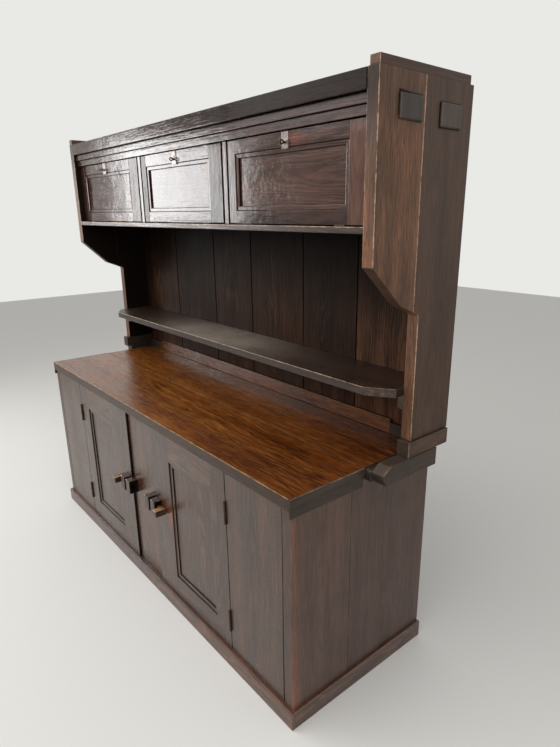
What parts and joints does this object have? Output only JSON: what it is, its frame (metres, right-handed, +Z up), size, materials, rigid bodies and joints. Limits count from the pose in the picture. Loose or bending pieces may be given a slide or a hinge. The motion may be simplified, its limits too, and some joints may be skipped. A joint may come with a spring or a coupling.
{
  "type": "sideboard with hutch",
  "caption": "Free-standing oak sideboard with panelled doors and wooden bolts, under a rack shelf and a row of locking drop-front cupboards.",
  "frame": {"origin": "on the floor, under the middle of the whole piece's width and depth", "axes": "+X to the right as seen from the front, +Y from the front to the back, +Z up"},
  "size_m": [2.008, 0.652, 1.848],
  "materials": {
    "stained_oak": "satin, dark stained and worn",
    "dark_oak": "satin, nearly black",
    "waxed_oak_top": "waxed, warm brown",
    "polished_oak": "polished, dark stained",
    "black_iron": "blackened",
    "worn_brass": "dull and worn"
  },
  "bodies": {
    "carcass": {"base_side_left": "stained_oak", "base_side_right": "stained_oak", "plinth": "dark_oak", "base_floor": "stained_oak", "base_back": "dark_oak", "base_partition": "stained_oak", "base_shelves": "stained_oak", "shelf_cleats": "stained_oak", "front_side_planks": "stained_oak", "centre_plank": "stained_oak", "front_rail": "stained_oak", "table_top": "waxed_oak_top", "end_strips": "waxed_oak_top", "bearers": "stained_oak", "foot_blocks": "stained_oak", "hutch_side_left": "stained_oak", "hutch_side_right": "stained_oak", "side_plates": "dark_oak", "cornice": "stained_oak", "fascia": "stained_oak", "door_rail": "stained_oak", "hutch_top": "stained_oak", "hutch_floor": "stained_oak", "dividers": "stained_oak", "hutch_back": "dark_oak", "mid_shelf": "stained_oak", "shelf_brackets": "stained_oak", "upstand": "waxed_oak_top", "upstand_blocks": "dark_oak", "bolt_keepers": "dark_oak", "plank_leaves": "black_iron", "floor_leaves": "black_iron"},
    "left_door": {"left_door_frame": "stained_oak", "left_door_panel": "stained_oak", "bolt_guide_left": "dark_oak", "left_door_leaves": "black_iron"},
    "right_door": {"right_door_frame": "stained_oak", "right_door_panel": "stained_oak", "bolt_guide_right": "dark_oak", "right_door_leaves": "black_iron"},
    "left_bolt": {"bolt_left": "waxed_oak_top"},
    "right_bolt": {"bolt_right": "waxed_oak_top"},
    "flap_left": {"flap_left_frame": "polished_oak", "flap_left_panel": "polished_oak", "flap_left_leaves": "black_iron", "lock_left": "worn_brass"},
    "key_left": {"key_left": "worn_brass"},
    "lock_bolt_left": {"lock_bolt_left": "black_iron"},
    "flap_middle": {"flap_middle_frame": "polished_oak", "flap_middle_panel": "polished_oak", "flap_middle_leaves": "black_iron", "lock_middle": "worn_brass"},
    "key_middle": {"key_middle": "worn_brass"},
    "lock_bolt_middle": {"lock_bolt_middle": "black_iron"},
    "flap_right": {"flap_right_frame": "polished_oak", "flap_right_panel": "polished_oak", "flap_right_leaves": "black_iron", "lock_right": "worn_brass"},
    "key_right": {"key_right": "worn_brass"},
    "lock_bolt_right": {"lock_bolt_right": "black_iron"}
  },
  "joints": [
    {"name": "left_door_hinge", "type": "hinge", "parent": "carcass", "child": "left_door", "pos_m": [-0.6127, -0.2815, 0.391], "axis": [0, 0, -1], "range_deg": [0, 165]},
    {"name": "left_bolt_slide", "type": "slide", "parent": "left_door", "child": "left_bolt", "axis": [1, 0, 0], "range_m": [0, 0.018]},
    {"name": "right_door_hinge", "type": "hinge", "parent": "carcass", "child": "right_door", "pos_m": [0.6127, -0.2815, 0.391], "axis": [0, 0, 1], "range_deg": [0, 165]},
    {"name": "right_bolt_slide", "type": "slide", "parent": "right_door", "child": "right_bolt", "axis": [-1, 0, 0], "range_m": [0, 0.018]},
    {"name": "flap_left_hinge", "type": "hinge", "parent": "carcass", "child": "flap_left", "pos_m": [-0.64385, -0.0275, 1.4705], "axis": [1, 0, 0], "range_deg": [0, 95]},
    {"name": "key_left_turn", "type": "hinge", "parent": "flap_left", "child": "key_left", "pos_m": [-0.66335, -0.026, 1.696], "axis": [0, 1, 0], "range_deg": [0, 100]},
    {"name": "lock_bolt_left_slide", "type": "slide", "parent": "flap_left", "child": "lock_bolt_left", "axis": [0, 0, 1], "range_m": [0, 0.008]},
    {"name": "flap_middle_hinge", "type": "hinge", "parent": "carcass", "child": "flap_middle", "pos_m": [0, -0.0275, 1.4705], "axis": [1, 0, 0], "range_deg": [0, 95]},
    {"name": "key_middle_turn", "type": "hinge", "parent": "flap_middle", "child": "key_middle", "pos_m": [-0.0195, -0.026, 1.696], "axis": [0, 1, 0], "range_deg": [0, 100]},
    {"name": "lock_bolt_middle_slide", "type": "slide", "parent": "flap_middle", "child": "lock_bolt_middle", "axis": [0, 0, 1], "range_m": [0, 0.008]},
    {"name": "flap_right_hinge", "type": "hinge", "parent": "carcass", "child": "flap_right", "pos_m": [0.64385, -0.0275, 1.4705], "axis": [1, 0, 0], "range_deg": [0, 95]},
    {"name": "key_right_turn", "type": "hinge", "parent": "flap_right", "child": "key_right", "pos_m": [0.62435, -0.026, 1.696], "axis": [0, 1, 0], "range_deg": [0, 100]},
    {"name": "lock_bolt_right_slide", "type": "slide", "parent": "flap_right", "child": "lock_bolt_right", "axis": [0, 0, 1], "range_m": [0, 0.008]}
  ],
  "couplings": [
    {"joint": "key_left_turn", "follows": "lock_bolt_left_slide", "rad_per_m": 196.35},
    {"joint": "key_middle_turn", "follows": "lock_bolt_middle_slide", "rad_per_m": 196.35},
    {"joint": "key_right_turn", "follows": "lock_bolt_right_slide", "rad_per_m": 196.35}
  ]
}
